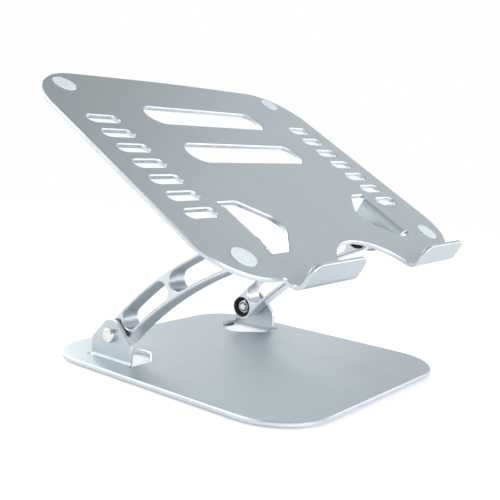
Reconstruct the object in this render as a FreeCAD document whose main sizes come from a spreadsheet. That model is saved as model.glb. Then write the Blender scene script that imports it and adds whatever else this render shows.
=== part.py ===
import FreeCAD, Part
import math
import os
import re

import Sketcher
from FreeCAD import Vector

# Folding laptop stand of bent aluminium sheet. Millimetres, +Z up, the user sits at -Y.
# The origin is on the desk, under the middle of the stand's bounding box.
# A flat base carries two arms on friction pivots, and the arms carry a tilted tray.

os.makedirs("parts", exist_ok=True)
doc = FreeCAD.newDocument("laptop_stand")

# ---------------------------------------------------------------- driving sizes

SIZES = [
    ("base_width", 204.7, "base plate, left to right"),
    ("base_depth", 233.0, "base plate, front to back"),
    ("base_corner", 37.5, "corner radius at the base plate's back"),
    ("base_front_corner", 43.0, "corner radius at the base plate's front"),
    ("base_sheet", 3.0, "thickness of the base plate's sheet"),
    ("base_pivot_back", 56.0, "lower pivot to the base plate's back edge"),
    ("base_pivot_height", 18.2, "lower pivot above the base plate's top"),
    ("foot_radius", 9.0, "round foot under the base plate"),
    ("foot_thickness", 1.5, "thickness of a foot"),
    ("foot_inset", 26.0, "foot centre to the base plate's edges"),
    ("tray_width", 280.0, "tray, left to right"),
    ("tray_sheet", 3.0, "thickness of the tray's sheet"),
    ("tray_tilt", 30.4, "tray's slope, degrees, as it stands"),
    ("tray_back", 184.3, "upper pivot to the tray's back edge, along the slope"),
    ("tray_back_bow", 3.5, "how much the back edge falls away at its ends"),
    ("tray_front", 46.7, "upper pivot to the tray's front edge, along the slope"),
    ("tray_corner", 45.0, "corner radius at the tray's back"),
    ("tray_front_corner", 40.0, "corner radius at the tray's front"),
    ("tray_pivot_depth", 20.7, "upper pivot below the tray's top face"),
    ("notch_top", 24.4, "upper pivot to the top of the front notch"),
    ("notch_radius", 42.0, "radius of the front notch"),
    ("notch_blend", 3.0, "rounding where the notch meets the hooks"),
    ("hook_outer", 96.5, "mid-plane to a hook's outer end"),
    ("hook_start", 52.0, "upper pivot to the start of the hook's bend"),
    ("hook_bend", 5.0, "inside radius of the hook's bend"),
    ("hook_relief", 3.0, "radius between the tray's front edge and a hook"),
    ("lip_height", 18.4, "hook lip above the tray's top face"),
    ("lip_corner", 7.5, "corner radius of a hook lip"),
    ("lip_pad_thickness", 1.2, "silicone strip on a lip's inner face"),
    ("lip_pad_margin", 7.0, "strip's ends to the lip's ends"),
    ("lip_pad_height", 8.6, "height of the strip"),
    ("ear_inner", 80.7, "mid-plane to the inner faces of the ears"),
    ("ear_half_width", 21.4, "half the width of an ear"),
    ("ear_tip_radius", 12.0, "round tip of an ear, about the pivot"),
    ("ear_shoulder", 6.0, "radius at an ear's shoulders"),
    ("ear_bend", 2.5, "inside radius of the ears' bends"),
    ("bend_relief", 0.6, "flat between an ear's bend and its window"),
    ("wing_half_width", 25.8, "half the width of the window that an ear leaves in the tray"),
    ("base_wing_half_width", 22.9, "half the width of the window that an ear leaves in the base"),
    ("wing_tip", 49.0, "mid-plane to the tip of that window"),
    ("wing_tip_radius", 14.0, "radius of the window's tip"),
    ("wing_shoulder", 6.0, "radius at the window's shoulders"),
    ("window_half", 51.4, "long tray window, centre to the centre of its round end"),
    ("window_radius", 11.65, "round end of a long tray window"),
    ("window_first", 81.95, "upper pivot to the first long window"),
    ("window_pitch", 48.7, "between the long windows"),
    ("vent_x", 109.4, "mid-plane to the middle of the vent slots"),
    ("vent_half", 8.5, "vent slot, centre to the centre of its round end"),
    ("vent_radius", 4.5, "round end of a vent slot"),
    ("vent_first", 16.35, "upper pivot to the first vent slot"),
    ("vent_pitch", 17.36, "between the vent slots"),
    ("vent_count", 7, "vent slots on each side"),
    ("pad_x", 112.5, "mid-plane to the tray pads"),
    ("pad_front", 25.7, "front tray pads, ahead of the upper pivot"),
    ("pad_back", 164.3, "back tray pads, behind the upper pivot"),
    ("pad_radius", 8.4, "round tray pad"),
    ("pad_thickness", 1.2, "thickness of a tray pad"),
    ("pad_recess", 0.5, "depth of a pad's recess in the tray"),
    ("pad_clearance", 0.1, "gap round a pad in its recess"),
    ("arm_length", 133.5, "lower pivot to upper pivot"),
    ("arm_rise", 33.8, "slope of the line of pivots, degrees, as it stands"),
    ("arm_half_depth", 10.0, "half the depth of an arm, and the radius of its ends"),
    ("arm_thickness", 16.0, "thickness of an arm"),
    ("arm_bow", 7.45, "how far an arm's centre line arches above its pivots"),
    ("arm_wall", 2.8, "metal between an arm's windows and its edge"),
    ("arm_window_start", 18.6, "pivot to the centre of a window's end, along the arm"),
    ("arm_web_place", 0.5, "web's place, as a share of the way down from the upper pivot"),
    ("arm_web_span", 18.8, "between the centres of the window ends at the web"),
    ("counterbore_wall", 1.2, "metal round the counterbore in an arm's inner face"),
    ("counterbore_depth", 12.0, "depth of that counterbore"),
    ("friction_radius", 9.0, "friction washer between an ear and an arm"),
    ("friction_thickness", 1.5, "thickness of a friction washer"),
    ("side_play", 0.05, "gap beside an arm that turns"),
    ("pin_radius", 3.0, "shank of a pivot bolt"),
    ("running_clearance", 0.05, "gap round a shank in an arm's bore"),
    ("neck_corner", 0.8, "corner radius of a bolt's square neck, which is as wide as its shank"),
    ("neck_clearance", 0.05, "gap round a neck in its ear"),
    ("head_radius", 5.4, "head of a pivot bolt"),
    ("head_height", 3.6, "height of a bolt's head"),
    ("head_edge", 0.9, "rounding of a head's edge"),
    ("bolt_overhang", 0.9, "bolt's end beyond its nut"),
    ("bolt_point", 0.5, "taper at a bolt's end"),
    ("spring_gap", 0.9, "gap round a disc spring in its counterbore"),
    ("spring_thickness", 0.8, "thickness of a disc spring"),
    ("spring_cone", 0.5, "height of a disc spring's cone"),
    ("washer_radius", 6.6, "flat washer under a nut"),
    ("washer_thickness", 1.2, "thickness of a flat washer"),
    ("washer_clearance", 0.2, "gap round a shank in washers and springs"),
    ("nut_flats", 10.0, "across the flats of a lock nut"),
    ("nut_height", 4.6, "height of a lock nut's hexagon"),
    ("nut_collar", 4.85, "radius of a lock nut's collar"),
    ("nut_collar_height", 1.7, "height of a lock nut's collar"),
    ("nut_lip", 0.7, "wall of a lock nut's collar"),
    ("insert_height", 1.3, "height of the nylon ring in a lock nut"),
    ("thread_gap", 0.03, "gap between a shank and its nut, and round the nylon ring"),
    ("edge_chamfer", 0.7, "bright chamfer on the sheets' edges"),
    ("arm_chamfer", 0.8, "chamfer on an arm's edges"),
    ("window_chamfer", 0.7, "chamfer on the edges of an arm's windows"),
    ("pad_rounding", 0.4, "rounding of the silicone pads' edges"),
]

sheet = doc.addObject("Spreadsheet::Sheet", "sheet")
for row, (alias, value, meaning) in enumerate(SIZES, start=1):
    sheet.set(f"A{row}", meaning)
    sheet.set(f"B{row}", str(value))
    sheet.setAlias(f"B{row}", alias)
doc.recompute()

ALIASES = re.compile(r"\b(" + "|".join(alias for alias, _, _ in SIZES) + r")\b")

# Lengths that follow from the driving sizes, as expressions of them.
BASE_EAR = "(ear_inner + base_sheet)"
TRAY_EAR = "(ear_inner + tray_sheet)"
BASE_CUT = f"({BASE_EAR} + ear_bend + bend_relief)"
TRAY_CUT = f"({TRAY_EAR} + ear_bend + bend_relief)"
EAR_SPIRE = "(ear_tip_radius * sqrt(2))"
WING_SPIRE = "(wing_tip + wing_tip_radius - wing_tip_radius * sqrt(2))"
TRAY_TOP = "tray_pivot_depth"
TRAY_UNDER = "(tray_pivot_depth - tray_sheet)"
LIP_REACH = "(hook_start + hook_bend + tray_sheet)"
LIP_TOP = "(tray_pivot_depth + lip_height)"
NOTCH_CENTRE = "(notch_top + notch_radius)"
HOOK_INNER = f"sqrt(notch_radius ^ 2 - ({NOTCH_CENTRE} - hook_start) ^ 2)"
ARM_OUTER = "(ear_inner - friction_thickness - side_play)"
ARM_INNER = f"({ARM_OUTER} - arm_thickness)"
ARM_CURVE = "((arm_length / 2) ^ 2 / (2 * arm_bow) + arm_bow / 2)"
ARM_CENTRE_Z = f"(arm_bow - {ARM_CURVE})"
ARM_WINDOW = "(arm_half_depth - arm_wall)"
COUNTERBORE = "(arm_half_depth - counterbore_wall)"
SPRING_RADIUS = f"({COUNTERBORE} - spring_gap)"
SPRING_STACK = "(2 * (spring_thickness + spring_cone))"
SPRING_FACE = f"({ARM_INNER} + counterbore_depth - side_play)"
WASHER_FACE = f"({SPRING_FACE} - {SPRING_STACK})"
NUT_FACE = f"({WASHER_FACE} - washer_thickness)"
NUT_END = f"({NUT_FACE} - nut_height - nut_collar_height)"
BOLT_END = f"({NUT_END} - bolt_overhang)"

# The lower pivot sits so that the stand's bounding box is centred on the origin.
LOWER_Y = (
    f"((arm_length * cos(arm_rise) + {LIP_REACH} * cos(tray_tilt)"
    f" + {LIP_TOP} * sin(tray_tilt) - base_pivot_back) / 2)"
)
LOWER_Z = "(foot_thickness + base_sheet + base_pivot_height)"
UPPER_Y = f"({LOWER_Y} - arm_length * cos(arm_rise))"
UPPER_Z = f"({LOWER_Z} + arm_length * sin(arm_rise))"
SIDES = (("left", -1), ("right", 1))


def bind(expression):
    """An expression of size names as FreeCAD reads it, each name looked up in the sheet."""
    return ALIASES.sub(r"sheet.\1", expression)


def size(expression):
    """The present value of an expression of size names."""
    value = sheet.evalExpression(bind(expression))
    return float(getattr(value, "Value", value))


# ---------------------------------------------------------------- bodies and sketches

SUBPARTS = []


def new_body(label, pivot=None, turn=None):
    """A sub-part. pivot is its (y, z) place, and turn its slope about X, in degrees."""
    body = doc.addObject("PartDesign::Body", label)
    body.Label = label
    if turn is not None:
        body.Placement = FreeCAD.Placement(Vector(), FreeCAD.Rotation(Vector(1, 0, 0), 1))
        body.setExpression("Placement.Rotation.Angle", bind(turn))
    if pivot is not None:
        body.setExpression("Placement.Base.y", bind(pivot[0]))
        body.setExpression("Placement.Base.z", bind(pivot[1]))
    SUBPARTS.append(body)
    return body


def base_body(label):
    """A body whose origin is on the lower pivot's axis, level with the desk."""
    return new_body(label, (LOWER_Y, LOWER_Z))


def tray_body(label):
    """A body whose origin is on the upper pivot's axis, turned with the tray."""
    return new_body(label, (UPPER_Y, UPPER_Z), "tray_tilt")


def new_sketch(body, name, role, offset=None):
    """A sketch on one of the body's own planes, moved along its normal by offset."""
    sketch = body.newObject("Sketcher::SketchObject", f"{body.Label}_{name}")
    plane = next(item for item in body.Origin.OriginFeatures if item.Role == role)
    sketch.AttachmentSupport = (plane, [""])
    sketch.MapMode = "FlatFace"
    if offset is not None:
        sketch.setExpression("AttachmentOffset.Base.z", bind(offset))
    doc.recompute()
    return sketch


def tie(sketch, kind, *places, expression):
    """Adds a dimension and binds it to an expression."""
    index = sketch.addConstraint(Sketcher.Constraint(kind, *places, size(expression)))
    sketch.setExpression(f"Constraints[{index}]", bind(expression))


def fix_point(sketch, element, end, x, y):
    """Places one point of the sketch at expressions x and y."""
    for kind, axis, value in (("DistanceX", -2, x), ("DistanceY", -1, y)):
        if value == "0":
            sketch.addConstraint(Sketcher.Constraint("PointOnObject", element, end, axis))
        else:
            tie(sketch, kind, -1, 1, element, end, expression=value)


def add_arc(sketch, centre, radius, start, end):
    """A counter-clockwise arc from the direction of start to that of end."""
    angles = [math.atan2(point.y - centre.y, point.x - centre.x) for point in (start, end)]
    circle = Part.Circle(centre, Vector(0, 0, 1), radius)
    return sketch.addGeometry(Part.ArcOfCircle(circle, angles[0], angles[1]))


def outline(sketch, corners):
    """A closed outline through corners (x, y) or (x, y, radius), all expressions."""
    count = len(corners)
    points = [Vector(size(corner[0]), size(corner[1]), 0) for corner in corners]
    exits = []
    for index, corner in enumerate(corners):
        here = points[index]
        back = (points[index - 1] - here).normalize()
        ahead = (points[(index + 1) % count] - here).normalize()
        if len(corner) == 2:
            exits.append((here, here, None, True))
            continue
        half = back.getAngle(ahead) / 2
        run = size(corner[2]) / math.tan(half)
        centre = here + (back + ahead).normalize() * (size(corner[2]) / math.sin(half))
        left_turn = back.cross(ahead).z < 0
        exits.append((here + back * run, here + ahead * run, centre, left_turn))
    lines = [
        sketch.addGeometry(Part.LineSegment(exits[index][1], exits[(index + 1) % count][0]))
        for index in range(count)
    ]
    for index, corner in enumerate(corners):
        entry, leave, centre, left_turn = exits[index]
        before, after = lines[index - 1], lines[index]
        if centre is None:
            sketch.addConstraint(Sketcher.Constraint("Coincident", before, 2, after, 1))
            fix_point(sketch, after, 1, corner[0], corner[1])
            continue
        start, end = (entry, leave) if left_turn else (leave, entry)
        arc = add_arc(sketch, centre, size(corner[2]), start, end)
        ends = (1, 2) if left_turn else (2, 1)
        sketch.addConstraint(Sketcher.Constraint("Tangent", before, 2, arc, ends[0]))
        sketch.addConstraint(Sketcher.Constraint("Tangent", arc, ends[1], after, 1))
        tie(sketch, "Radius", arc, expression=corner[2])
        point = sketch.addGeometry(Part.Point(points[index]), True)
        fix_point(sketch, point, 1, corner[0], corner[1])
        sketch.addConstraint(Sketcher.Constraint("PointOnObject", point, 1, before))
        sketch.addConstraint(Sketcher.Constraint("PointOnObject", point, 1, after))


def disc(sketch, x, y, radius):
    """A circle whose centre and radius are expressions."""
    centre = Vector(size(x), size(y), 0)
    circle = sketch.addGeometry(Part.Circle(centre, Vector(0, 0, 1), size(radius)))
    fix_point(sketch, circle, 3, x, y)
    tie(sketch, "Radius", circle, expression=radius)


def level_slot(sketch, x, y, half, radius):
    """A slot with round ends along the sketch's first axis, about the point (x, y)."""
    rise = Vector(0, size(radius), 0)
    first = Vector(size(f"{x} - {half}"), size(y), 0)
    last = Vector(size(f"{x} + {half}"), size(y), 0)
    low = sketch.addGeometry(Part.LineSegment(first - rise, last - rise))
    right = add_arc(sketch, last, rise.y, last - rise, last + rise)
    high = sketch.addGeometry(Part.LineSegment(last + rise, first + rise))
    left = add_arc(sketch, first, rise.y, first + rise, first - rise)
    loop = (low, right, high, left)
    for index, element in enumerate(loop):
        following = loop[(index + 1) % 4]
        sketch.addConstraint(Sketcher.Constraint("Tangent", element, 2, following, 1))
    fix_point(sketch, left, 3, f"{x} - {half}", y)
    fix_point(sketch, right, 3, f"{x} + {half}", y)
    tie(sketch, "Radius", left, expression=radius)
    tie(sketch, "Radius", right, expression=radius)


def bowed_slot(sketch, low_end, high_end, half):
    """A slot that follows the arm's arched centre line between two points (y, z) on it."""
    ends = [Vector(size(y), size(z), 0) for y, z in (low_end, high_end)]
    middle = Vector(-size("arm_length") / 2, size(ARM_CENTRE_Z), 0)
    inner = size(f"{ARM_CURVE} - {half}")
    outer = size(f"{ARM_CURVE} + {half}")
    out = [(end - middle).normalize() for end in ends]
    tops = [middle + way * outer for way in out]
    feet = [middle + way * inner for way in out]
    top = add_arc(sketch, middle, outer, tops[0], tops[1])
    front = add_arc(sketch, ends[1], size(half), tops[1], feet[1])
    foot = add_arc(sketch, middle, inner, feet[0], feet[1])
    back = add_arc(sketch, ends[0], size(half), feet[0], tops[0])
    for first, first_end, second, second_end in (
        (top, 2, front, 1), (front, 2, foot, 2), (foot, 1, back, 1), (back, 2, top, 1),
    ):
        sketch.addConstraint(
            Sketcher.Constraint("Tangent", first, first_end, second, second_end)
        )
    fix_point(sketch, back, 3, *low_end)
    fix_point(sketch, front, 3, *high_end)
    tie(sketch, "Radius", back, expression=half)
    tie(sketch, "Radius", front, expression=half)
    tie(sketch, "Radius", top, expression=f"{ARM_CURVE} + {half}")
    tie(sketch, "Radius", foot, expression=f"{ARM_CURVE} - {half}")


# ---------------------------------------------------------------- features


def pad(body, sketch, length, reverse=False, both_ways=False):
    """Adds the sketch's area, length thick."""
    feature = body.newObject("PartDesign::Pad", f"{sketch.Name}_pad")
    feature.Profile = sketch
    feature.setExpression("Length", bind(length))
    feature.Reversed = reverse
    if both_ways:
        feature.SideType = "Symmetric"
    doc.recompute()
    return feature


def cut(body, sketch, depth=None, reverse=False):
    """Removes the sketch's area, to a depth or, without one, through both ways."""
    volume = body.Shape.Volume
    feature = body.newObject("PartDesign::Pocket", f"{sketch.Name}_cut")
    feature.Profile = sketch
    if depth is None:
        feature.Type = "ThroughAll"
        feature.SideType = "Symmetric"
    else:
        feature.setExpression("Length", bind(depth))
        feature.Reversed = reverse
    doc.recompute()
    if body.Shape.Volume > volume - 1e-6:
        raise RuntimeError(f"{feature.Name} cuts nothing")
    return feature


def revolve(body, sketch):
    """Turns the sketch about the body's X axis."""
    feature = body.newObject("PartDesign::Revolution", f"{sketch.Name}_turned")
    feature.Profile = sketch
    axis = next(item for item in body.Origin.OriginFeatures if item.Role == "X_Axis")
    feature.ReferenceAxis = (axis, [""])
    feature.Angle = 360
    doc.recompute()
    return feature


def edges_where(shape, test):
    """Names of the edges all of whose sampled points pass the test."""
    names = []
    for index, edge in enumerate(shape.Edges, start=1):
        first, last = edge.ParameterRange
        samples = [edge.valueAt(first + (last - first) * share / 4) for share in range(5)]
        if all(test(point) for point in samples):
            names.append(f"Edge{index}")
    return names


def ease(body, kind, value, test):
    """Chamfers or fillets, by the size named value, the edges that pass the test."""
    base = body.Tip
    feature = body.newObject(f"PartDesign::{kind}", f"{body.Label}_{kind.lower()}")
    feature.Base = (base, edges_where(base.Shape, test))
    feature.setExpression("Size" if kind == "Chamfer" else "Radius", bind(value))
    doc.recompute()
    return feature


def near(first, second):
    return abs(first - second) < 1e-4


# ---------------------------------------------------------------- bent sheets


def wing_window(sketch, side, cut_x, half):
    """The five-sided window beside a bend, with its round tip towards the mid-plane."""
    shoulder = f"{WING_SPIRE} + {half}"
    outline(sketch, [
        (f"{side} * {cut_x}", f"-{half}"),
        (f"{side} * {cut_x}", half),
        (f"{side} * ({shoulder})", half, "wing_shoulder"),
        (f"{side} * {WING_SPIRE}", "0", "wing_tip_radius"),
        (f"{side} * ({shoulder})", f"-{half}", "wing_shoulder"),
    ])


def bent_ears(body, ear_outer, near_face, far_face, tip, pivot_z, up, gauge):
    """Two ears bent out of the sheet, with round tips about the pivot and square holes.

    near_face is the sheet's face on the inside of the bend and far_face the other, both
    as Z. up is 1 where the ears point up and -1 where they hang.
    """
    profile = new_sketch(body, "ears", "XZ_Plane")
    root = f"{ear_outer} + ear_bend + bend_relief + 1"
    for _, side in SIDES:
        outline(profile, [
            (f"{side} * ear_inner", tip),
            (f"{side} * {ear_outer}", tip),
            (f"{side} * {ear_outer}", near_face, "ear_bend"),
            (f"{side} * ({root})", near_face),
            (f"{side} * ({root})", far_face),
            (f"{side} * ear_inner", far_face, f"ear_bend + {gauge}"),
        ])
    pad(body, profile, "2 * ear_half_width", both_ways=True)

    spire = f"{pivot_z} + {up} * {EAR_SPIRE}"
    shoulder = f"{spire} - {up} * ear_half_width"
    low = f"{shoulder} - {up} * (ear_shoulder / 2 + 1)"
    beyond = f"{tip} + {up} * 2"
    trim = new_sketch(body, "ear_trim", "YZ_Plane")
    outline(trim, [
        ("-ear_half_width - 3", beyond),
        ("ear_half_width + 3", beyond),
        ("ear_half_width + 3", low),
        ("ear_half_width", low),
        ("ear_half_width", shoulder, "ear_shoulder"),
        ("0", spire, "ear_tip_radius"),
        ("-ear_half_width", shoulder, "ear_shoulder"),
        ("-ear_half_width", low),
        ("-ear_half_width - 3", low),
    ])
    cut(body, trim)

    hole = new_sketch(body, "neck_holes", "YZ_Plane")
    square(hole, pivot_z, "(pin_radius + neck_clearance)")
    cut(body, hole)


def square(sketch, height, half):
    """A round-cornered square about the point (0, height)."""
    outline(sketch, [
        (f"-{half}", f"{height} - {half}", "neck_corner"),
        (half, f"{height} - {half}", "neck_corner"),
        (half, f"{height} + {half}", "neck_corner"),
        (f"-{half}", f"{height} + {half}", "neck_corner"),
    ])


def make_base_plate():
    """One sheet: rounded plate, two windows, and their metal bent up as ears."""
    body = base_body("base_plate")
    top = "-base_pivot_height"
    front = "base_pivot_back - base_depth"
    plate = new_sketch(body, "plate", "XY_Plane", top)
    outline(plate, [
        ("-base_width / 2", front, "base_front_corner"),
        ("base_width / 2", front, "base_front_corner"),
        ("base_width / 2", "base_pivot_back", "base_corner"),
        ("-base_width / 2", "base_pivot_back", "base_corner"),
    ])
    pad(body, plate, "base_sheet", reverse=True)

    windows = new_sketch(body, "windows", "XY_Plane", top)
    for _, side in SIDES:
        wing_window(windows, side, BASE_CUT, "base_wing_half_width")
    cut(body, windows)

    top_z = size(top)
    under_z = size(f"{top} - base_sheet")
    bend_x = size(BASE_CUT)
    ease(body, "Chamfer", "edge_chamfer",
         lambda point: near(point.z, top_z) and not near(abs(point.x), bend_x))
    side_x = size("base_width / 2")
    ease(body, "Chamfer", "edge_chamfer / 2",
         lambda point: near(point.z, under_z) and near(abs(point.x), side_x))

    tip = "ear_tip_radius + 1"
    bent_ears(body, BASE_EAR, top, f"{top} - base_sheet", tip, "0", 1, "base_sheet")
    chamfer_ears(body, BASE_EAR)


def chamfer_ears(body, ear_outer):
    """Chamfers both faces of the ears round their outlines, starting from the tips."""
    faces = (size("ear_inner"), size(ear_outer))
    tip = size("ear_tip_radius")

    def on_tip(point):
        on_face = any(near(abs(point.x), face) for face in faces)
        return on_face and near(math.hypot(point.y, point.z), tip)

    ease(body, "Chamfer", "edge_chamfer", on_tip)


def make_tray_plate():
    """One sheet: rounded tray with hooks, notch, windows, vents and hanging ears."""
    body = tray_body("tray_plate")
    back_end = "tray_back - tray_back_bow"
    plate = new_sketch(body, "plate", "XY_Plane", TRAY_TOP)
    outline(plate, [
        ("-hook_outer", "-hook_start"),
        ("hook_outer", "-hook_start"),
        ("hook_outer", "-tray_front", "hook_relief"),
        ("tray_width / 2", "-tray_front", "tray_front_corner"),
        ("tray_width / 2", back_end, "tray_corner"),
        ("0", "tray_back", "8 * tray_back"),
        ("-tray_width / 2", back_end, "tray_corner"),
        ("-tray_width / 2", "-tray_front", "tray_front_corner"),
        ("-hook_outer", "-tray_front", "hook_relief"),
    ])
    pad(body, plate, "tray_sheet", reverse=True)

    notch = new_sketch(body, "notch", "XY_Plane", TRAY_TOP)
    disc(notch, "0", f"-{NOTCH_CENTRE}", "notch_radius")
    cut(body, notch)

    for name, side in SIDES:
        hook = new_sketch(body, f"{name}_hook", "YZ_Plane", f"{side} * {HOOK_INNER}")
        outline(hook, [
            ("1 - hook_start", TRAY_TOP),
            ("-hook_start - hook_bend", TRAY_TOP, "hook_bend"),
            ("-hook_start - hook_bend", LIP_TOP),
            (f"-{LIP_REACH}", LIP_TOP),
            (f"-{LIP_REACH}", TRAY_UNDER, "hook_bend + tray_sheet"),
            ("1 - hook_start", TRAY_UNDER),
        ])
        pad(body, hook, f"hook_outer - {HOOK_INNER}", reverse=side < 0)
    lip_top = size(LIP_TOP)
    hook_ends = (size("hook_outer"), size(HOOK_INNER))
    ease(body, "Fillet", "lip_corner",
         lambda point: near(point.z, lip_top) and any(near(abs(point.x), x) for x in hook_ends))
    bend_y = -size("hook_start")
    ease(body, "Fillet", "notch_blend",
         lambda point: near(point.y, bend_y) and near(abs(point.x), hook_ends[1]))

    openings = new_sketch(body, "windows", "XY_Plane", TRAY_TOP)
    for _, side in SIDES:
        wing_window(openings, side, TRAY_CUT, "wing_half_width")
    for number in range(2):
        level_slot(openings, "0", f"(window_first + {number} * window_pitch)",
                   "window_half", "window_radius")
    cut(body, openings)

    vents = new_sketch(body, "vents", "XY_Plane", TRAY_TOP)
    for _, side in SIDES:
        level_slot(vents, f"{side} * vent_x", "vent_first", "vent_half", "vent_radius")
    first_vents = cut(body, vents)
    row = body.newObject("PartDesign::LinearPattern", "tray_vent_row")
    row.Originals = [first_vents]
    row.Direction = (vents, ["V_Axis"])
    row.setExpression("Length", bind("(vent_count - 1) * vent_pitch"))
    row.setExpression("Occurrences", bind("vent_count"))
    body.Tip = row
    doc.recompute()

    recesses = new_sketch(body, "pad_recesses", "XY_Plane", TRAY_TOP)
    for _, side in SIDES:
        for place in ("-pad_front", "pad_back"):
            disc(recesses, f"{side} * pad_x", place, "pad_radius + pad_clearance")
    cut(body, recesses, "pad_recess")

    top_z = size(TRAY_TOP)
    bend_x = size(TRAY_CUT)
    pad_x = size("pad_x")
    pad_limit = size("pad_radius + pad_clearance") + 0.01

    def on_top_edge(point):
        if not near(point.z, top_z) or near(abs(point.x), bend_x):
            return False
        for place in (-size("pad_front"), size("pad_back")):
            if math.hypot(abs(point.x) - pad_x, point.y - place) < pad_limit:
                return False
        return point.y > bend_y - 0.01

    ease(body, "Chamfer", "edge_chamfer", on_top_edge)
    under_z = size(TRAY_UNDER)
    side_x = size("tray_width / 2")
    ease(body, "Chamfer", "edge_chamfer / 2",
         lambda point: near(point.z, under_z) and near(abs(point.x), side_x))

    tip = "-ear_tip_radius - 1"
    bent_ears(body, TRAY_EAR, TRAY_UNDER, TRAY_TOP, tip, "0", -1, "tray_sheet")
    chamfer_ears(body, TRAY_EAR)


# ---------------------------------------------------------------- arms


def on_centre_line(turn):
    """The (y, z) of the point of the arm's centre line at turn degrees from its middle."""
    return (
        f"(-arm_length / 2 + {ARM_CURVE} * sin({turn}))",
        f"({ARM_CENTRE_Z} + {ARM_CURVE} * cos({turn}))",
    )


def make_arm(name, side):
    """A bowed bar with two long windows, bored and counterbored at both pivots."""
    body = new_body(name, (LOWER_Y, LOWER_Z), "-arm_rise")
    inner = f"{side} * {ARM_INNER}"
    bar = new_sketch(body, "bar", "YZ_Plane", inner)
    bowed_slot(bar, ("0", "0"), ("-arm_length", "0"), "arm_half_depth")
    pad(body, bar, "arm_thickness", reverse=side < 0)

    degree = f"(180 / pi / {ARM_CURVE})"
    pivot_turn = f"asin(arm_length / 2 / {ARM_CURVE}) / 1 deg"
    end_turn = f"({pivot_turn} - arm_window_start * {degree})"
    web_turn = f"(({pivot_turn}) * (2 * arm_web_place - 1))"
    web_half = f"(arm_web_span / 2 * {degree})"
    windows = new_sketch(body, "windows", "YZ_Plane", inner)
    bowed_slot(windows, on_centre_line(end_turn),
               on_centre_line(f"({web_turn} + {web_half})"), ARM_WINDOW)
    bowed_slot(windows, on_centre_line(f"({web_turn} - {web_half})"),
               on_centre_line(f"-{end_turn}"), ARM_WINDOW)
    cut(body, windows)

    faces = (size(ARM_INNER), size(ARM_OUTER))
    bar_edge = size("arm_half_depth") - 0.01
    centre = Vector(0, -size("arm_length") / 2, size(ARM_CENTRE_Z))
    curve = size(ARM_CURVE)

    def on_rim(point):
        out = Vector(0, point.y, point.z).distanceToPoint(centre)
        return any(near(abs(point.x), face) for face in faces) and abs(out - curve) > bar_edge

    def on_window(point):
        out = Vector(0, point.y, point.z).distanceToPoint(centre)
        on_wall = abs(abs(out - curve) - size(ARM_WINDOW)) < 0.01
        return any(near(abs(point.x), face) for face in faces) and on_wall

    ease(body, "Chamfer", "arm_chamfer", on_rim)
    ease(body, "Chamfer", "window_chamfer", on_window)

    sinks = new_sketch(body, "counterbores", "YZ_Plane", inner)
    bores = new_sketch(body, "bores", "YZ_Plane", inner)
    for place in ("0", "-arm_length"):
        disc(sinks, place, "0", COUNTERBORE)
        disc(bores, place, "0", "pin_radius + running_clearance")
    cut(body, sinks, "counterbore_depth", reverse=side > 0)
    cut(body, bores)


# ---------------------------------------------------------------- pivot hardware


def turned(body, name, corners):
    """A piece turned about X from its half section of (x, radius[, rounding]) corners."""
    section = new_sketch(body, name, "XY_Plane")
    outline(section, corners)
    return revolve(body, section)


def make_bolt(body, side, ear_outer):
    """Pivot bolt: round head outside the ear, square neck in it, shank through the arm."""
    turned(body, "bolt", [
        (f"{side} * ({ear_outer} + head_height)", "0"),
        (f"{side} * ({ear_outer} + head_height)", "head_radius", "head_edge"),
        (f"{side} * {ear_outer}", "head_radius"),
        (f"{side} * {ear_outer}", "pin_radius"),
        (f"{side} * ({BOLT_END} + bolt_point)", "pin_radius"),
        (f"{side} * {BOLT_END}", "pin_radius - bolt_point"),
        (f"{side} * {BOLT_END}", "0"),
    ])
    neck = new_sketch(body, "neck", "YZ_Plane", f"{side} * ear_inner")
    square(neck, "0", "pin_radius")
    pad(body, neck, f"{ear_outer} - ear_inner", reverse=side < 0)


def make_ring(body, side, outer_face, thickness, inside, outside):
    """A flat ring about the pivot, from outer_face inwards."""
    turned(body, "ring", [
        (f"{side} * {outer_face}", inside),
        (f"{side} * {outer_face}", outside),
        (f"{side} * ({outer_face} - {thickness})", outside),
        (f"{side} * ({outer_face} - {thickness})", inside),
    ])


def make_nut(body, side):
    """Lock nut: hexagon with a round collar that holds a nylon ring."""
    bore = "pin_radius + thread_gap"
    hexagon = new_sketch(body, "hexagon", "YZ_Plane", f"{side} * {NUT_FACE}")
    reach = "(nut_flats / sqrt(3))"
    outline(hexagon, [
        (f"{reach} * cos({60 * corner})", f"{reach} * sin({60 * corner})")
        for corner in (0.5, 1.5, 2.5, 3.5, 4.5, 5.5)
    ])
    pad(body, hexagon, "nut_height", reverse=side > 0)
    collar = new_sketch(body, "collar", "YZ_Plane", f"{side} * ({NUT_FACE} - nut_height)")
    disc(collar, "0", "0", "nut_collar")
    pad(body, collar, "nut_collar_height", reverse=side > 0)
    pocket = new_sketch(body, "pocket", "YZ_Plane", f"{side} * {NUT_END}")
    disc(pocket, "0", "0", "nut_collar - nut_lip")
    cut(body, pocket, "insert_height", reverse=side > 0)
    thread = new_sketch(body, "thread", "YZ_Plane")
    disc(thread, "0", "0", bore)
    cut(body, thread)
    outer = size("nut_collar") - 0.01
    end_x = size(NUT_END)
    ease(body, "Fillet", "nut_lip / 2",
         lambda point: near(abs(point.x), end_x) and math.hypot(point.y, point.z) > outer)


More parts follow.
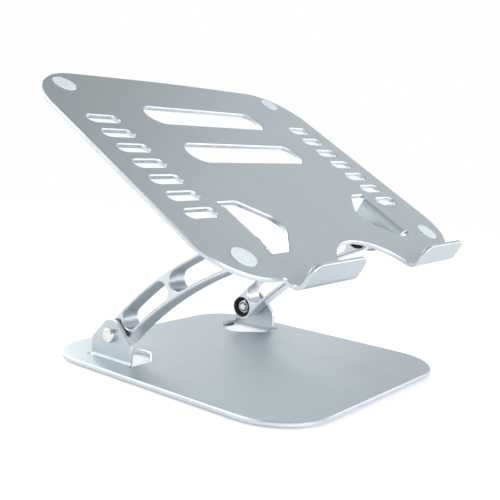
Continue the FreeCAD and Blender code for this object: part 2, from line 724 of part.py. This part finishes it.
def make_pivot(name, side, make_body, ear_outer):
    """One pivot's bolt, friction washer, disc springs, flat washer, nut and nylon ring."""
    make_bolt(make_body(f"{name}_bolt"), side, ear_outer)
    make_ring(make_body(f"{name}_friction_washer"), side, "ear_inner", "friction_thickness",
              "pin_radius + washer_clearance", "friction_radius")
    make_springs(make_body, name, side)
    make_ring(make_body(f"{name}_flat_washer"), side, WASHER_FACE, "washer_thickness",
              "pin_radius + washer_clearance", "washer_radius")
    make_nut(make_body(f"{name}_nut"), side)
    make_ring(make_body(f"{name}_nylon_ring"), side, f"({NUT_END} + insert_height)",
              "insert_height", "pin_radius + thread_gap", "nut_collar - nut_lip - thread_gap")


def make_springs(make_body, name, side):
    """The pair of disc springs: an outer one on the arm and an inner one on the washer."""
    half = f"({SPRING_STACK} / 2)"
    inside = "pin_radius + washer_clearance"
    outer_spring = make_body(f"{name}_outer_spring")
    turned(outer_spring, "cone", [
        (f"{side} * {SPRING_FACE}", inside),
        (f"{side} * ({SPRING_FACE} - spring_thickness)", inside),
        (f"{side} * ({SPRING_FACE} - {half})", SPRING_RADIUS),
        (f"{side} * ({SPRING_FACE} - spring_cone)", SPRING_RADIUS),
    ])
    inner_spring = make_body(f"{name}_inner_spring")
    turned(inner_spring, "cone", [
        (f"{side} * {WASHER_FACE}", inside),
        (f"{side} * ({WASHER_FACE} + spring_thickness)", inside),
        (f"{side} * ({WASHER_FACE} + {half})", SPRING_RADIUS),
        (f"{side} * ({WASHER_FACE} + spring_cone)", SPRING_RADIUS),
    ])


# ---------------------------------------------------------------- pads and feet


def make_button(body, x, y, low, radius, thickness, rounded_face):
    """A round pad with its soft edge on the exposed face, which is 1 up or -1 down."""
    sketch = new_sketch(body, "face", "XY_Plane", low)
    disc(sketch, x, y, radius)
    pad(body, sketch, thickness)
    level = size(f"{low} + {thickness}") if rounded_face > 0 else size(low)
    ease(body, "Fillet", "pad_rounding", lambda point: near(point.z, level))


def make_lip_pad(body, side):
    """A silicone strip on the inner face of a hook lip."""
    strip = new_sketch(body, "strip", "XZ_Plane", "hook_start + hook_bend")
    near_end = f"{side} * ({HOOK_INNER} + lip_pad_margin)"
    far_end = f"{side} * (hook_outer - lip_pad_margin)"
    foot = f"{LIP_TOP} - (lip_height - hook_bend) / 2 - lip_pad_height / 2"
    corners = [(near_end, foot), (far_end, foot), (far_end, f"{foot} + lip_pad_height"),
               (near_end, f"{foot} + lip_pad_height")]
    outline(strip, [(x, z, "lip_pad_height / 4") for x, z in corners])
    pad(body, strip, "lip_pad_thickness", reverse=True)


make_base_plate()
make_tray_plate()
for side_name, side_sign in SIDES:
    make_arm(f"{side_name}_arm", side_sign)
    make_pivot(f"{side_name}_lower", side_sign, base_body, BASE_EAR)
    make_pivot(f"{side_name}_upper", side_sign, tray_body, TRAY_EAR)
    for end_name, tray_y, foot_y in (
        ("front", "-pad_front", "base_pivot_back - base_depth + foot_inset"),
        ("back", "pad_back", "base_pivot_back - foot_inset"),
    ):
        make_button(tray_body(f"{side_name}_{end_name}_tray_pad"),
                    f"{side_sign} * pad_x", tray_y, "tray_pivot_depth - pad_recess",
                    "pad_radius", "pad_thickness", 1)
        make_button(base_body(f"{side_name}_{end_name}_foot"),
                    f"{side_sign} * (base_width / 2 - foot_inset)", foot_y,
                    f"-{LOWER_Z}", "foot_radius", "foot_thickness", -1)
    make_lip_pad(tray_body(f"{side_name}_lip_pad"), side_sign)

# ---------------------------------------------------------------- checks and files

doc.recompute()
for item in doc.Objects:
    if "Invalid" in item.State or "Error" in item.State:
        raise RuntimeError(f"{item.Name} failed: {item.State}")
for body in SUBPARTS:
    if body.Shape.isNull() or not body.Shape.isValid() or len(body.Shape.Solids) != 1:
        raise RuntimeError(f"{body.Label} is not one valid solid")
for body in SUBPARTS:
    body.Shape.exportStep(f"parts/{body.Label}.step")
print(len(SUBPARTS), "sub-parts written")
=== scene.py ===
import math

import bpy
from mathutils import Matrix, Vector


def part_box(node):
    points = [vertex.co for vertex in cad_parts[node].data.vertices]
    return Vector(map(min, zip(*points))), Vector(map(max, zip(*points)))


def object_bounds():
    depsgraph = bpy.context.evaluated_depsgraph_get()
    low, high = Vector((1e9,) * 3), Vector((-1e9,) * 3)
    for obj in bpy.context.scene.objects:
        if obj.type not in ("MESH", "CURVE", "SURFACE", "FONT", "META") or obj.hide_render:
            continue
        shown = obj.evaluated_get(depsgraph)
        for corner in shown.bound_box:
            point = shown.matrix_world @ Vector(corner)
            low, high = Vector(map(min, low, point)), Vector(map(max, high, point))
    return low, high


# Folding laptop stand of bent aluminium sheet: a flat base, two arms on friction
# hinges and a tilted tray. Metres, +Z up, the user sits at -Y, the desk is z = 0.
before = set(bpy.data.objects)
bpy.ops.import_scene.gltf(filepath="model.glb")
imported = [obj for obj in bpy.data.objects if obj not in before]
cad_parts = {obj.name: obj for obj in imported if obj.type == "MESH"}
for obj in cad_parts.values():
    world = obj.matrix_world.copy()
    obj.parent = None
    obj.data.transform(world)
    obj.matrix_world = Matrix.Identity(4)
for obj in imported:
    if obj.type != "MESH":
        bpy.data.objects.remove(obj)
cad_low, cad_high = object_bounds()

# ------------------------------------------------------------------ base plate
# The base is one flat piece of 3 mm aluminium sheet with two ears bent up out of
# it. It is blanked, its edges are bevelled bright, the faces are bead blasted, and
# the whole plate is clear anodised.

BLASTED_ALUMINIUM = (0.51, 0.575, 0.605, 1.0)
BRIGHT_CUT = (0.64, 0.675, 0.705, 1.0)
SHEARED_RIM = (0.60, 0.65, 0.685, 1.0)
# Surfaces of the sheets narrower than these are bevels, and then rims.
SHEET_BEVEL_WIDTH = 0.0011
SHEET_RIM_WIDTH = 0.0028


def new_finish(name):
    """A material with its Principled shader, and a function that adds and joins its nodes."""
    finish = bpy.data.materials.new(name)
    finish.use_nodes = True
    nodes, links = finish.node_tree.nodes, finish.node_tree.links
    nodes.clear()
    shader = nodes.new("ShaderNodeBsdfPrincipled")
    output = nodes.new("ShaderNodeOutputMaterial")
    links.new(shader.outputs["BSDF"], output.inputs["Surface"])

    def add(kind, settings=(), values=(), joins=()):
        node = nodes.new("ShaderNode" + kind)
        for key, value in dict(settings).items():
            setattr(node, key, value)
        for key, value in dict(values).items():
            node.inputs[key].default_value = value
        for key, source in dict(joins).items():
            links.new(source, node.inputs[key])
        return node

    return finish, shader, links, add


def grain(add, place, size, detail=2.0, low=0.35, high=0.65):
    """Noise with features of this size, its usual values low to high spread over 0 to 1."""
    noise = add(
        "TexNoise",
        values={"Scale": 1.0 / size, "Detail": detail},
        joins={"Vector": place},
    )
    spread = add(
        "MapRange",
        values={"From Min": low, "From Max": high},
        joins={"Value": noise.outputs["Fac"]},
    )
    return spread.outputs["Result"]


def between(add, amount, low, high):
    """Takes 0 to 1 to low to high."""
    spread = add("MapRange", values={"To Min": low, "To Max": high}, joins={"Value": amount})
    return spread.outputs["Result"]


def tinted(add, amount, colour, dark, light):
    """The colour, made darker or lighter by an amount from 0 to 1."""
    ends = [tuple(c * k for c in colour[:3]) + (1.0,) for k in (dark, light)]
    mix = add("Mix", {"data_type": "RGBA"}, {6: ends[0], 7: ends[1]}, {0: amount})
    return mix.outputs[2]


def roughen(add, links, shader, height, strength, depth):
    """Raises the surface by the height, from 0 to 1, times the depth in metres."""
    bump = add(
        "Bump",
        values={"Strength": strength, "Distance": depth},
        joins={"Height": height},
    )
    links.new(bump.outputs["Normal"], shader.inputs["Normal"])


def blasted_metal(name, colour, roughness, bead, depth, sparkle):
    """Anodised metal blasted with beads: fine dimples, a faint sparkle and slow clouds."""
    finish, shader, links, add = new_finish(name)
    place = add("TexCoord").outputs["Object"]
    dimple = grain(add, place, bead, detail=3.0)
    speck = grain(add, place, bead * 2.6, detail=1.0)
    cloud = grain(add, place, 0.045)
    blend = add("Mix", values={0: 0.25}, joins={2: speck, 3: cloud}).outputs[0]
    tint = tinted(add, blend, colour, 1.0 - sparkle, 1.0 + sparkle)
    links.new(tint, shader.inputs["Base Color"])
    gloss = between(add, blend, roughness + 0.04, roughness - 0.04)
    links.new(gloss, shader.inputs["Roughness"])
    roughen(add, links, shader, dimple, strength=0.6, depth=depth)
    shader.inputs["Metallic"].default_value = 1.0
    return finish


def cut_metal(name, colour, roughness, line, depth):
    """Metal cut by a tool, which leaves marks of this size along the cut."""
    finish, shader, links, add = new_finish(name)
    place = add("TexCoord").outputs["Object"]
    marks = grain(add, place, line, detail=1.0)
    stain = grain(add, place, 0.012)
    links.new(tinted(add, stain, colour, 0.95, 1.04), shader.inputs["Base Color"])
    gloss = between(add, marks, roughness - 0.05, roughness + 0.05)
    links.new(gloss, shader.inputs["Roughness"])
    roughen(add, links, shader, marks, strength=0.4, depth=depth)
    shader.inputs["Metallic"].default_value = 1.0
    return finish


def surfaces(mesh):
    """Groups a mesh's faces into the smooth surfaces they came from, which share no corners."""
    owner = list(range(len(mesh.vertices)))

    def root(corner):
        while owner[corner] != corner:
            owner[corner] = owner[owner[corner]]
            corner = owner[corner]
        return corner

    for edge in mesh.edges:
        a, b = map(root, edge.vertices)
        owner[a] = b
    groups = {}
    for face in mesh.polygons:
        groups.setdefault(root(face.vertices[0]), []).append(face)
    return groups.values()


def width_of(mesh, group):
    """How wide a long thin surface is: twice its area over its outline."""
    uses = {}
    for face in group:
        for key in face.edge_keys:
            uses[key] = uses.get(key, 0) + 1
    outline = sum(
        (mesh.vertices[a].co - mesh.vertices[b].co).length
        for (a, b), count in uses.items()
        if count == 1
    )
    return 2 * sum(face.area for face in group) / max(outline, 1e-9)


def dress(node, finishes, widths=()):
    """Gives a CAD node its main finish, and its thin surfaces the finish for their width."""
    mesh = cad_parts[node].data
    mesh.materials.clear()
    for finish in finishes:
        mesh.materials.append(finish)
    for group in surfaces(mesh) if widths else ():
        width = width_of(mesh, group)
        place = next((i for i, most in enumerate(widths, 1) if width < most), 0)
        for face in group:
            face.material_index = place


blasted = blasted_metal(
    "blasted_anodised_aluminium", BLASTED_ALUMINIUM,
    roughness=0.46, bead=0.00032, depth=0.00003, sparkle=0.05,
)
bright_bevel = cut_metal(
    "bright_cut_bevel", BRIGHT_CUT, roughness=0.38, line=0.0006, depth=0.000008
)
sheet_rim = cut_metal("sheet_rim", SHEARED_RIM, roughness=0.42, line=0.0009, depth=0.00002)
SHEET_FINISHES = [blasted, bright_bevel, sheet_rim]
SHEET_WIDTHS = [SHEET_BEVEL_WIDTH, SHEET_RIM_WIDTH]
dress("base_plate", SHEET_FINISHES, SHEET_WIDTHS)

# ------------------------------------------------------------------ tray plate
# The tray is 3 mm sheet, cut and bent like the base: two ears turned down, two
# hooks turned up at the front, and windows and vent slots with bright bevels.

dress("tray_plate", SHEET_FINISHES, SHEET_WIDTHS)

# ------------------------------------------------------------------------ arms
# Each arm is milled from aluminium bar: bowed, with two windows divided by a web,
# bevelled all round and finely blasted before anodising.

ARM_ALUMINIUM = (0.59, 0.62, 0.655, 1.0)
ARM_BEVEL_WIDTH = 0.0013

arm_metal = blasted_metal(
    "fine_anodised_arm", ARM_ALUMINIUM,
    roughness=0.34, bead=0.00022, depth=0.000012, sparkle=0.02,
)
for arm in ("left_arm", "right_arm"):
    dress(arm, [arm_metal, bright_bevel], [ARM_BEVEL_WIDTH])

# ---------------------------------------------------------------- friction hinges
# A square-necked bolt holds each ear to an arm's end. Inside the arm's counterbore
# it carries two disc springs and a washer, drawn up by a locking nut with a nylon
# ring; a plastic washer between ear and arm gives the smooth friction.

POLISHED_STEEL = (0.70, 0.70, 0.705, 1.0)
# The nut's body colour is plated steel darkened as painted shade of the counterbore it sits in.
SHADED_PLATED_STEEL = (0.26, 0.27, 0.265, 1.0)
BLACKENED_STEEL = (0.10, 0.10, 0.105, 1.0)
DARK_PLASTIC = (0.035, 0.035, 0.038, 1.0)
# Faces of the nut narrower than this, its collar rim, get polished steel as a painted highlight.
NUT_HIGHLIGHT_RIM_WIDTH = 0.0009
TURNING_PITCH = 0.00022
# The ring wave has its rings this far apart at scale 1.
RING_PITCH_AT_SCALE_ONE = 0.314


def turned_metal(name, colour, roughness, depth, axis):
    """Metal turned about a line along X through this point, with fine rings on its faces."""
    finish, shader, links, add = new_finish(name)
    place = add("TexCoord").outputs["Object"]
    centred = add(
        "Mapping",
        values={"Location": (-axis.x, -axis.y, -axis.z)},
        joins={"Vector": place},
    )
    rings = add(
        "TexWave",
        {"wave_type": "RINGS", "rings_direction": "X"},
        {
            "Scale": RING_PITCH_AT_SCALE_ONE / TURNING_PITCH,
            "Distortion": 0.6,
            "Detail": 1.0,
            "Detail Scale": 2.0,
        },
        {"Vector": centred.outputs["Vector"]},
    ).outputs["Fac"]
    stain = grain(add, place, 0.003)
    links.new(tinted(add, stain, colour, 0.92, 1.05), shader.inputs["Base Color"])
    gloss = between(add, rings, roughness - 0.03, roughness + 0.04)
    links.new(gloss, shader.inputs["Roughness"])
    roughen(add, links, shader, rings, strength=0.4, depth=depth)
    shader.inputs["Metallic"].default_value = 1.0
    return finish


def moulded_plastic(name, colour, roughness, skin, depth):
    """Moulded plastic or rubber: an even colour with a fine skin from the mould."""
    finish, shader, links, add = new_finish(name)
    place = add("TexCoord").outputs["Object"]
    skin_grain = grain(add, place, skin, detail=3.0)
    cloud = grain(add, place, skin * 14)
    links.new(tinted(add, cloud, colour, 0.94, 1.05), shader.inputs["Base Color"])
    gloss = between(add, skin_grain, roughness - 0.06, roughness + 0.06)
    links.new(gloss, shader.inputs["Roughness"])
    roughen(add, links, shader, skin_grain, strength=0.5, depth=depth)
    return finish


acetal = moulded_plastic("acetal_washer", DARK_PLASTIC, roughness=0.42, skin=0.0004, depth=0.00001)
nylon = moulded_plastic("nylon_ring", DARK_PLASTIC, roughness=0.38, skin=0.0004, depth=0.00001)
for level in ("lower", "upper"):
    low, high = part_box(f"left_{level}_nylon_ring")
    axis = (low + high) / 2
    polished = turned_metal(f"polished_steel_{level}", POLISHED_STEEL, 0.16, 0.000004, axis)
    shaded_plated = turned_metal(f"shaded_plated_steel_{level}", SHADED_PLATED_STEEL, 0.30, 0.000006, axis)
    blackened = turned_metal(f"blackened_steel_{level}", BLACKENED_STEEL, 0.36, 0.000006, axis)
    for side in ("left", "right"):
        hinge = f"{side}_{level}_"
        dress(hinge + "bolt", [polished])
        # The thin rim of the nut's collar, rolled over the nylon ring, gets polished steel as a
        # painted highlight. The rest of the nut gets plated steel darkened as painted shade of the
        # counterbore.
        dress(hinge + "nut", [shaded_plated, polished], [NUT_HIGHLIGHT_RIM_WIDTH])
        for part in ("outer_spring", "inner_spring", "flat_washer"):
            dress(hinge + part, [blackened])
        dress(hinge + "friction_washer", [acetal])
        dress(hinge + "nylon_ring", [nylon])

# ------------------------------------------------------------------ silicone pads
# Four round silicone pads are glued into shallow recesses of the tray, and a strip
# lines each hook's lip, so that the laptop neither slides nor gets scratched.

SILICONE = (0.59, 0.665, 0.69, 1.0)
SILICONE_GLOW_DEPTH = 0.001


def silicone_rubber(name, colour):
    """Cast silicone: slightly translucent, matt, with a faint powdery grain."""
    finish, shader, links, add = new_finish(name)
    place = add("TexCoord").outputs["Object"]
    skin = grain(add, place, 0.0003, detail=3.0)
    cloud = grain(add, place, 0.004)
    links.new(tinted(add, cloud, colour, 0.97, 1.03), shader.inputs["Base Color"])
    links.new(between(add, skin, 0.50, 0.62), shader.inputs["Roughness"])
    roughen(add, links, shader, skin, strength=0.4, depth=0.000015)
    shader.inputs["Subsurface Weight"].default_value = 0.35
    shader.inputs["Subsurface Radius"].default_value = (1.0, 1.0, 1.0)
    shader.inputs["Subsurface Scale"].default_value = SILICONE_GLOW_DEPTH
    shader.inputs["IOR"].default_value = 1.41
    shader.inputs["Specular IOR Level"].default_value = 0.2
    return finish


silicone = silicone_rubber("pale_silicone", SILICONE)
for side in ("left", "right"):
    for part in ("front_tray_pad", "back_tray_pad", "lip_pad"):
        dress(f"{side}_{part}", [silicone])

# ---------------------------------------------------------------------------- feet
# Four thin round feet of dark rubber are glued under the base plate, one near each
# corner, so that it doesn't slide on the desk.

FOOT_RUBBER = (0.075, 0.078, 0.082, 1.0)

foot_rubber = moulded_plastic(
    "foot_rubber", FOOT_RUBBER, roughness=0.62, skin=0.0005, depth=0.00002
)
for side in ("left", "right"):
    for end in ("front", "back"):
        dress(f"{side}_{end}_foot", [foot_rubber])

# ------------------------------------------------------------------ floor and light
# The stand is shown on a plain white acrylic table, which fades into the white
# surroundings before its rim, in the light of soft boxes. The table has a faint
# painted glow of its own, which lightens the shadows the stand casts on it.

FLOOR_WHITE = (0.90, 0.905, 0.91)
FLOOR_RADIUS = 1.4
FLOOR_FADE = 0.6
FLOOR_SHADOW_FILL_GLOW = 0.2


def round_floor(name, radius, turns=96):
    """A flat disc at z = 0, as a fan of faces."""
    points = [(0.0, 0.0, 0.0)]
    for turn in range(turns):
        angle = 2 * math.pi * turn / turns
        points.append((radius * math.cos(angle), radius * math.sin(angle), 0.0))
    mesh = bpy.data.meshes.new(name)
    fan = [(0, 1 + turn, 1 + (turn + 1) % turns) for turn in range(turns)]
    mesh.from_pydata(points, [], fan)
    made = bpy.data.objects.new(name, mesh)
    bpy.context.scene.collection.objects.link(made)
    return made


floor = round_floor("floor", FLOOR_RADIUS)
floor_paint, floor_shader, floor_links, floor_add = new_finish("white_floor")
floor_place = floor_add("TexCoord").outputs["Object"]
floor_grain = grain(floor_add, floor_place, 0.02, detail=3.0)
floor_links.new(
    tinted(floor_add, floor_grain, FLOOR_WHITE, 0.99, 1.01),
    floor_shader.inputs["Base Color"],
)
floor_shader.inputs["Roughness"].default_value = 0.85
floor_shader.inputs["Specular IOR Level"].default_value = 0.2
# Painted glow: the floor gives off a little light of its own, filling the stand's contact shadow.
floor_shader.inputs["Emission Color"].default_value = (1.0, 1.0, 1.0, 1.0)
floor_shader.inputs["Emission Strength"].default_value = FLOOR_SHADOW_FILL_GLOW
floor_reach = floor_add("VectorMath", {"operation": "LENGTH"}, joins={0: floor_place})
floor_fade = floor_add(
    "MapRange",
    {"interpolation_type": "SMOOTHSTEP"},
    {"From Min": FLOOR_FADE, "From Max": FLOOR_RADIUS, "To Min": 1.0, "To Max": 0.0},
    {"Value": floor_reach.outputs["Value"]},
)
floor_links.new(floor_fade.outputs["Result"], floor_shader.inputs["Alpha"])
floor.data.materials.append(floor_paint)

# Soft boxes round the stand: each one's turn from +X and height angle, in degrees,
# and how bright its face is. A pale lavender gel tints the ones at the front.
BOX_DISTANCE = 1.3
BOX_SIZE = 0.85
FRONT_GEL = (1.0, 0.965, 1.03)
SOFT_BOXES = {
    "right_high_box": (0, 45, 0.49),
    "right_box": (20, 12, 0.25),
    "back_right_box": (45, 14, 0.56),
    "back_box": (80, 14, 4.50),
    "back_left_box": (135, 14, 1.44),
    "back_left_high_box": (135, 45, 1.94),
    "front_left_box": (247, 14, 4.47),
    "front_box": (270, 12, 1.93),
    "front_right_box": (315, 14, 1.21),
    "far_right_box": (330, 12, 0.87),
}
for name, (turn, rise, glow) in SOFT_BOXES.items():
    lamp = bpy.data.lights.new(name, "AREA")
    if name.startswith("front"):
        lamp.color = FRONT_GEL
    lamp.shape, lamp.size = "SQUARE", BOX_SIZE
    lamp.energy = glow * math.pi * BOX_SIZE**2
    box = bpy.data.objects.new(name, lamp)
    turn, rise = math.radians(turn), math.radians(rise)
    flat = math.cos(rise)
    away = Vector((flat * math.cos(turn), flat * math.sin(turn), math.sin(rise)))
    box.location = away * BOX_DISTANCE + Vector((0, 0, cad_high.z / 2))
    box.rotation_euler = (-away).to_track_quat("-Z", "Y").to_euler()
    box.visible_camera = False
    bpy.context.scene.collection.objects.link(box)

# The room's even light, and the white that the camera sees behind it all.
ROOM_GLOW = 0.44
WHITE = (1.0, 1.0, 1.0, 1.0)

world = bpy.data.worlds.new("studio")
bpy.context.scene.world = world
world.use_nodes = True
world_nodes, world_links = world.node_tree.nodes, world.node_tree.links
room = world_nodes["Background"]
room.inputs["Color"].default_value = WHITE
room.inputs["Strength"].default_value = ROOM_GLOW
backdrop = world_nodes.new("ShaderNodeBackground")
backdrop.inputs["Color"].default_value = WHITE
seen = world_nodes.new("ShaderNodeLightPath")
either = world_nodes.new("ShaderNodeMixShader")
world_links.new(seen.outputs["Is Camera Ray"], either.inputs[0])
world_links.new(room.outputs["Background"], either.inputs[1])
world_links.new(backdrop.outputs["Background"], either.inputs[2])
world_links.new(either.outputs["Shader"], world_nodes["World Output"].inputs["Surface"])

# --------------------------------------------------------------------------- camera
# The camera stands low, off the front left corner, and looks a little down. The view
# transform is plain, so that the whites stay white.

CAMERA_PLACE = (-0.4428, -0.3515, 0.1684)
CAMERA_RIGHT = (0.6331, -0.7725, 0.0495)
CAMERA_LOOK = (0.7698, 0.6217, -0.1445)
CAMERA_LENS = 55.48
CAMERA_SENSOR = 36.0

lens = bpy.data.cameras.new("camera")
lens.sensor_width, lens.lens = CAMERA_SENSOR, CAMERA_LENS
lens.clip_start, lens.clip_end = 0.01, 40.0
camera = bpy.data.objects.new("camera", lens)
bpy.context.scene.collection.objects.link(camera)
look = Vector(CAMERA_LOOK).normalized()
right = Vector(CAMERA_RIGHT)
right = (right - look * right.dot(look)).normalized()
up = right.cross(look)
camera.rotation_mode = "QUATERNION"
camera.rotation_quaternion = Matrix((right, up, -look)).transposed().to_quaternion()
camera.location = CAMERA_PLACE
bpy.context.scene.camera = camera
bpy.context.scene.view_settings.view_transform = "Standard"
